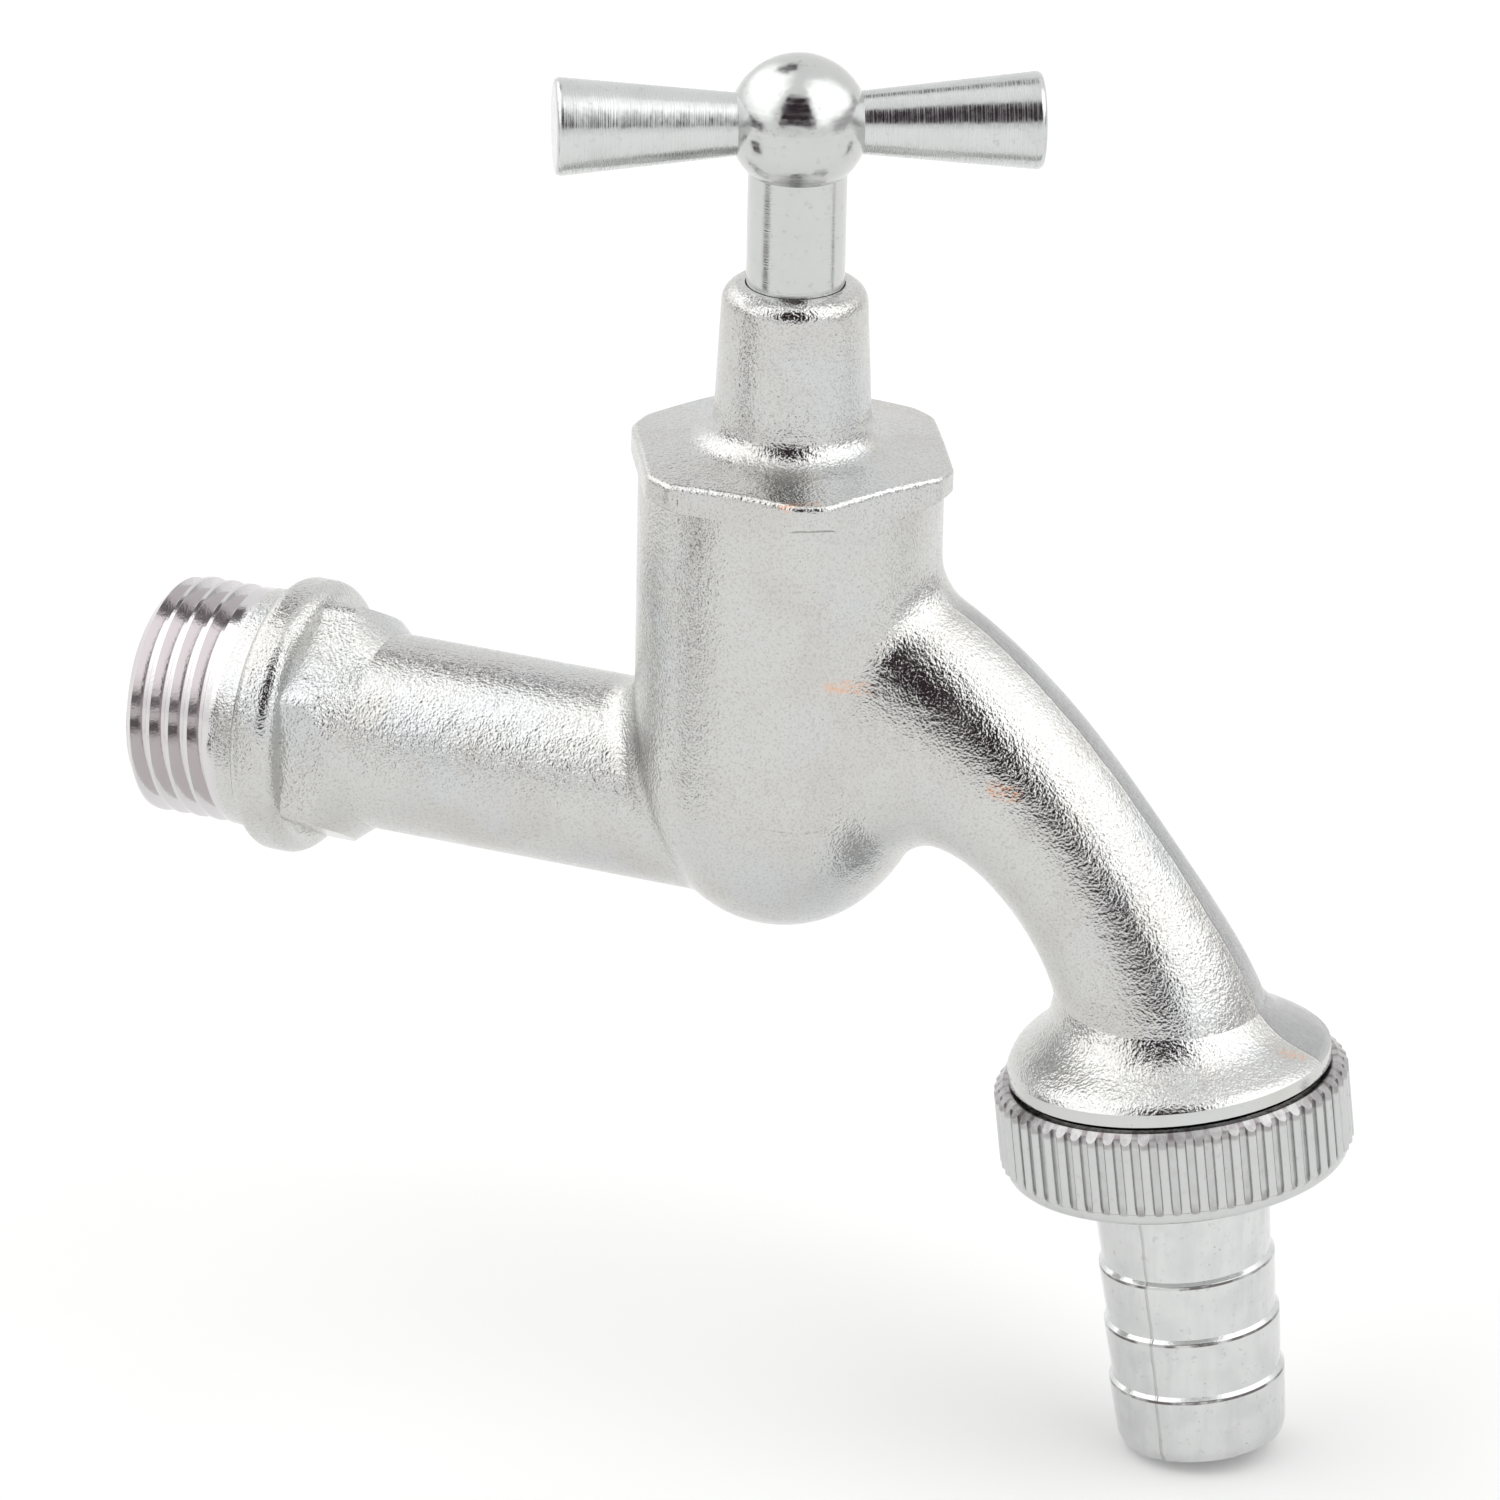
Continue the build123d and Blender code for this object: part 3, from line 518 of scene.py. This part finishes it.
stemLook = dict(
    brightColours,
    colour=(0.60, 0.61, 0.60, 1),
    centre=valveCentre,
    axis=(0, 0, 1),
    lineSize=0.00012,
    lineDepth=0.000010,
    lineRoughness=0.10,
    waveDepth=0.00003,
    roughness=0.11,
)
ballLook = dict(
    stemLook,
    lineSize=0.00025,
    lineDepth=0.000003,
    lineRoughness=0.07,
    waveDepth=0.00006,
    roughness=0.14,
)
barLook = dict(
    stemLook,
    colour=brightColours["colour"],
    centre=ballCentre,
    axis=(math.cos(heading), math.sin(heading), 0),
    lineSize=0.00014,
    lineDepth=0.000007,
    lineRoughness=0.17,
    waveDepth=0.00005,
    roughness=0.15,
)
tailLook = dict(
    brightColours,
    colour=(0.69, 0.70, 0.695, 1),
    lineSize=0.0005,
    lineDepth=0.000002,
    lineRoughness=0.0,
    waveDepth=0.00003,
    roughness=0.13,
    seamTurn=96.6,
    seamWidth=0.00007,
    seamWander=0.00030,
    seamDepth=0.00004,
    streakSize=0.0012,
    streakLength=0.12,
    streakDepth=0.000018,
    streakShare=0.35,
    pitSize=0.00032,
    pitDepth=0.00003,
    barbFirst=0.03483,
    barbPitch=0.00535,
    barbCount=3,
    barbLine=0.00028,
    barbShade=0.9,
    barbPaintedShade=(0.10, 0.08, 0.085, 1),
    **outletAxis,
)


# painted shade in a line behind each of the tail's barbs, in patches
def barbPaintedShade(tree, place, distance, look):
    shadedLine = 0.0
    line = look["barbLine"]
    for index in range(look["barbCount"]):
        crest = look["barbFirst"] + index * look["barbPitch"] + line / 2
        away = calc(tree, "ABSOLUTE", calc(tree, "SUBTRACT", distance, crest))
        shadedLine = calc(tree, "MAXIMUM", shadedLine, ramp(tree, away, line * 0.3, line * 0.6, 1.0, 0.0))
    patchy = ramp(tree, noise(tree, place, 0.0022, 3.0), 0.38, 0.56, 0.15, 1.0)
    return times(tree, shadedLine, patchy, look["barbShade"])


# marks that a mould and plating leave on the tail: a raised seam, streaks and pits
def mouldedTail(look):
    material, tree, shader, place = turnedPlate("tailPlate", look)
    turn = math.radians(look["seamTurn"])
    across, front = Vector(outletSide), Vector((0, -1, 0))
    outward = across * math.cos(turn) + front * math.sin(turn)
    sideways = front * math.cos(turn) - across * math.sin(turn)
    distance = along(tree, place, look["centre"], look["axis"])
    wander = calc(tree, "SUBTRACT", turningLines(tree, distance, 0.004, 2.0), 0.5)
    wander = times(tree, wander, look["seamWander"])
    offset = calc(tree, "ADD", along(tree, place, look["centre"], sideways), wander)
    width = look["seamWidth"]
    line = ramp(tree, calc(tree, "ABSOLUTE", offset), width, width * 2.5, 1.0, 0.0)
    facing = ramp(tree, along(tree, place, look["centre"], outward), 0.004, 0.0055)
    seam = times(tree, line, facing)
    stretch = addNode(tree, "ShaderNodeMapping")
    feed(tree, stretch.inputs["Vector"], place)
    stretch.inputs["Rotation"].default_value = (0, -lean, 0)
    stretch.inputs["Scale"].default_value = (1, 1, look["streakLength"])
    streaks = noise(tree, stretch.outputs[0], look["streakSize"], 3.0, 0.6)
    pits = ramp(tree, noise(tree, place, look["pitSize"], 2.0), 0.70, 0.76)
    pits = times(tree, pits, ramp(tree, noise(tree, place, 0.0025, 2.0), 0.5, 0.62))
    normal = shader.inputs["Normal"].links[0].from_socket
    normal = bump(tree, streaks, look["streakDepth"], normal)
    normal = bump(tree, seam, look["seamDepth"], normal)
    normal = bump(tree, calc(tree, "SUBTRACT", 1.0, pits), look["pitDepth"], normal)
    feed(tree, shader.inputs["Normal"], normal)
    colour = shader.inputs["Base Color"].links[0].from_socket
    shade = ramp(tree, streaks, 0.45, 0.7, 0.0, look["streakShare"])
    colour = mixColour(tree, shade, colour, look["shade"])
    marked = times(tree, calc(tree, "MAXIMUM", times(tree, seam, 0.7), pits), 0.6)
    colour = mixColour(tree, marked, colour, look["stain"])
    # painted shade in a line behind each barb
    colour = mixColour(tree, barbPaintedShade(tree, place, distance, look), colour, look["barbPaintedShade"])
    feed(tree, shader.inputs["Base Color"], colour)
    return material


nutLook = dict(
    brightColours,
    colour=(0.60, 0.61, 0.605, 1),
    lineSize=0.0005,
    lineDepth=0.000002,
    lineRoughness=0.0,
    waveDepth=0.00002,
    roughness=0.20,
    paintedFluteShade=(0.15, 0.115, 0.125, 1),
    flutes=60,
    top=0.01768,
    bottom=0.0250,
    endLength=0.0011,
    grooveShade=0.16,
    endShade=0.7,
    ribTopShade=0.55,
    **outletAxis,
)


# painted shade in the flutes of the union nut, darkest at their two ends, and on the tops of its ribs
def flutedNut(look):
    material, tree, shader, place = turnedPlate("nutPlate", look)
    right = along(tree, place, look["centre"], outletSide)
    front = along(tree, place, look["centre"], (0, -1, 0))
    turn = times(tree, calc(tree, "ARCTAN2", front, right), look["flutes"])
    groove = ramp(tree, calc(tree, "COSINE", turn), -0.75, 0.25, 1.0, 0.0)
    depth = along(tree, place, look["centre"], look["axis"])
    top, bottom, end = look["top"], look["bottom"], look["endLength"]
    atTop = ramp(tree, depth, top + 0.3 * end, top + end, 1.0, 0.0)
    atBottom = ramp(tree, depth, bottom - end, bottom, 0.0, 0.6)
    below = ramp(tree, depth, bottom, bottom + 0.0002, 1.0, 0.0)
    ends = calc(tree, "MAXIMUM", atTop, times(tree, atBottom, below))
    uneven = ramp(tree, noise(tree, place, 0.0011, 3.0), 0.35, 0.65, 0.55, 1.0)
    share = calc(tree, "ADD", look["grooveShade"], times(tree, ends, look["endShade"]))
    share = times(tree, share, uneven, groove, below)
    ribTops = ramp(tree, depth, top + 0.9 * end, top + 1.2 * end, 1.0, 0.0)
    # painted shade on the rib tops dims their bright reflection
    share = calc(tree, "MAXIMUM", share, times(tree, ribTops, uneven, look["ribTopShade"]))
    colour = shader.inputs["Base Color"].links[0].from_socket
    # the flutes and rib tops take their painted shade here
    feed(tree, shader.inputs["Base Color"], mixColour(tree, share, colour, look["paintedFluteShade"]))
    return material


castPlate = castSkin(castLook)
dress("body", castPlate)
dress("bonnet", castPlate)
dress("spindle", turnedPlate("stemPlate", stemLook)[0])
dress("handle_ball", turnedPlate("ballPlate", ballLook)[0])
barPlate = turnedPlate("barPlate", barLook)[0]
dress("handle_bar_front", barPlate)
dress("handle_bar_back", barPlate)
dress("hose_tail", mouldedTail(tailLook))
dress("union_nut", flutedNut(nutLook))
print("plated pieces dressed")

brassLook = dict(
    stemLook,
    colour=(0.72, 0.53, 0.27, 1),
    shade=(0.62, 0.44, 0.22, 1),
    stain=(0.35, 0.24, 0.13, 1),
    lineSize=0.00015,
    roughness=0.24,
)
rubberLook = {"colour": (0.028, 0.028, 0.03, 1), "dust": (0.12, 0.115, 0.11, 1), "roughness": 0.6}
fibreLook = {"colour": (0.34, 0.07, 0.05, 1), "dust": (0.48, 0.16, 0.11, 1), "roughness": 0.8}


# rubber or pressed fibre, a little dusty
def softRing(name, look):
    material, tree, shader, place = newMaterial(name, 0.0)
    mottle = noise(tree, place, 0.0003, 4.0, 0.6)
    dust = ramp(tree, noise(tree, place, 0.0015, 3.0), 0.45, 0.75, 0.0, 0.5)
    share = times(tree, dust, mottle)
    feed(tree, shader.inputs["Base Color"], mixColour(tree, share, look["colour"], look["dust"]))
    rough = ramp(tree, mottle, 0.3, 0.7, look["roughness"] - 0.08, look["roughness"] + 0.1)
    feed(tree, shader.inputs["Roughness"], rough)
    feed(tree, shader.inputs["Normal"], bump(tree, mottle, 0.00002))
    return material


bareBrass = turnedPlate("bareBrass", brassLook)[0]
for node in ("jumper", "jumper_ring", "washer_screw"):
    dress(node, bareBrass)
sealRubber = softRing("sealRubber", rubberLook)
for node in ("valve_washer", "spindle_seal_lower", "spindle_seal_upper", "hose_washer"):
    dress(node, sealRubber)
dress("bonnet_gasket", softRing("pressedFibre", fibreLook))
print("inner pieces dressed")
